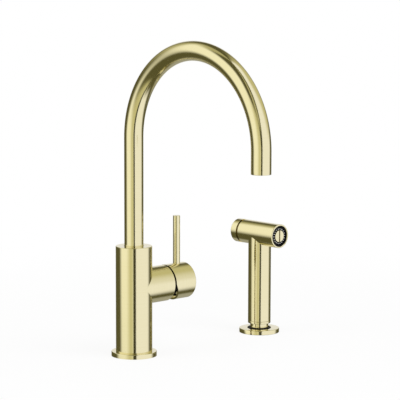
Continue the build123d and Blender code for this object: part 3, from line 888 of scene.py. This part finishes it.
holder = turnedPiece("sprayHolder", holderProfile, brassSpray, sprayPlace)
holderThread = wound("holderThread", shankThread, brassSpray, sprayAcross, 0, shankThreadFoot)
holder = unite(holder, holderThread)
standIn(holder, "spray_holder")

spigot = turnedPiece("spraySpigot", spigotProfile, brassSpray, sprayPlace)
spigotThread = wound("hoseThread", hoseThread, brassSpray, sprayAcross, 0, hoseThreadFoot)
spigot = unite(spigot, spigotThread)
standIn(spigot, "spray_spigot")
print("threads cut")


# spray face: a soft mat with a ring of nozzle tips

nozzleRing = {
    "Count": 18,
    "Circle Radius": 8.8 * mm,
}
tipProfile = [
    (0.72, -28.9), (0.62, -32.0), (0.56, -32.9), (0.5, -33.2), (0.38, -33.3), (0.26, -33.24),
    (0.2, -33.0), (0.18, -32.0), (0, -32.0), (0, -28.9)]
matProfile = [(3.2, -29.0), (11.7, -29.0), (11.9, -28.8), (11.9, -27.6), (3.2, -27.6)]


def ringTree(sizes):
    # sets copies of the starting mesh on a circle round Z
    graph, entry = newTree("ringOfTips", sizes)
    circle = graph.add("GeometryNodeMeshCircle", {"fill_type": "NONE"}, {
        "Vertices": entry.out("Count"), "Radius": entry.out("Circle Radius")})
    tips = graph.add("GeometryNodeInstanceOnPoints", {}, {
        "Points": circle, "Instance": entry.out("Geometry")})
    return closeTree(graph, entry, tips)


tip = turnedPiece("nozzleTips", tipProfile, greySilicone, around=16)
tips = grow("nozzleTips", ringTree(nozzleRing), nozzleRing, greySilicone, tip)
shift(tips, sprayAcross, 0, headHeight, swap=True)
tidyMesh(tips.data, "tips")
mat = turnedPiece("nozzleMat", matProfile, greySilicone, (sprayAcross, 0, headHeight), "Y")
mat = unite(mat, tips)
standIn(mat, "nozzle_mat")
print("spray face made")


# aerator: a honeycomb in a rim, seen from under the spout

honeycomb = {
    "Pitch": 1.55 * mm,
    "Rows": 14,
    "Reach": 8.0 * mm,
}
cellWall = 0.24               # millimetres, as in the lines below
cellDepth = (229.9, 233.6)
outletPlace = (0, outletAlong, 0)
rimProfile = [
    (7.3, 229.6), (8.6, 229.6), (8.85, 229.9), (8.85, 239.5), (0, 239.5), (0, 236.0), (7.3, 236.0)]
cellMerge = 0.01 * mm
rowNudge = 0.001              # of a row, so that a row's first cell isn't rounded down


def hexCell(name, material):
    # the wall faces that one hexagonal cell adds to the honeycomb
    pitch = honeycomb["Pitch"] / mm
    loops = [(pitch, cellDepth[0]), (pitch - cellWall, cellDepth[0]),
             (pitch - cellWall, cellDepth[1]), (pitch, cellDepth[1])]
    points = []
    for width, height in loops:
        for i in range(6):
            angle = math.radians(30 + 60 * i)
            reach = width / math.sqrt(3)
            points.append((reach * math.cos(angle) * mm, reach * math.sin(angle) * mm, height * mm))
    faces = [(6 * k + i, 6 * k + (i + 1) % 6, 6 * k + 6 + (i + 1) % 6, 6 * k + 6 + i)
             for k in range(3) for i in range(6)]
    cell = meshObject(name, points, faces, smooth=False)
    cell.data.materials.append(material)
    return cell


def honeycombTree(sizes):
    graph, entry = newTree("honeycomb", sizes)
    rows = entry.out("Rows")
    grid = graph.add("GeometryNodeMeshGrid", {}, {"Vertices X": rows, "Vertices Y": rows})
    index = graph.add("GeometryNodeInputIndex")
    row = (index / rows + rowNudge).math("FLOOR")
    column = index - row * rows
    middle = rows / 2.0
    odd = row - (row / 2.0).math("FLOOR") * 2.0
    x = (column - middle + odd * 0.5) * entry.out("Pitch")
    y = (row - middle) * entry.out("Pitch") * (math.sqrt(3) / 2)
    place = graph.add("ShaderNodeCombineXYZ", {}, {"X": x, "Y": y})
    spread = graph.add("GeometryNodeSetPosition", {}, {"Geometry": grid, "Position": place})
    spot = graph.add("GeometryNodeInputPosition")
    away = graph.add("ShaderNodeVectorMath", {"operation": "LENGTH"}, {0: spot}).out("Value")
    kept = graph.add("GeometryNodeDeleteGeometry", {"domain": "POINT"}, {
        "Geometry": spread, "Selection": away.math("GREATER_THAN", entry.out("Reach"))})
    cells = graph.add("GeometryNodeInstanceOnPoints", {}, {
        "Points": kept, "Instance": entry.out("Geometry")})
    real = graph.add("GeometryNodeRealizeInstances", {}, {"Geometry": cells})
    joined = graph.add("GeometryNodeMergeByDistance", {}, {"Geometry": real, "Distance": cellMerge})
    return closeTree(graph, entry, joined)


cell = hexCell("aeratorCells", palePlastic)
cells = grow("aeratorCells", honeycombTree(honeycomb), honeycomb, palePlastic, cell)
shift(cells, *outletPlace)
insert = unite(turnedPiece("aeratorInsert", rimProfile, palePlastic, outletPlace), cells)
markSharp(insert.data, "honeycomb")
standIn(insert, "aerator_insert")
print("aerator made")


# finishes for the nodes that keep their own meshes

for name, node in nodes.items():
    for slot in node.material_slots:
        base = slot.material.name.split(".")[0]
        slot.material = nodeFinish.get(name, slotFinish.get(base, plainBrass))
print("finishes laid on")
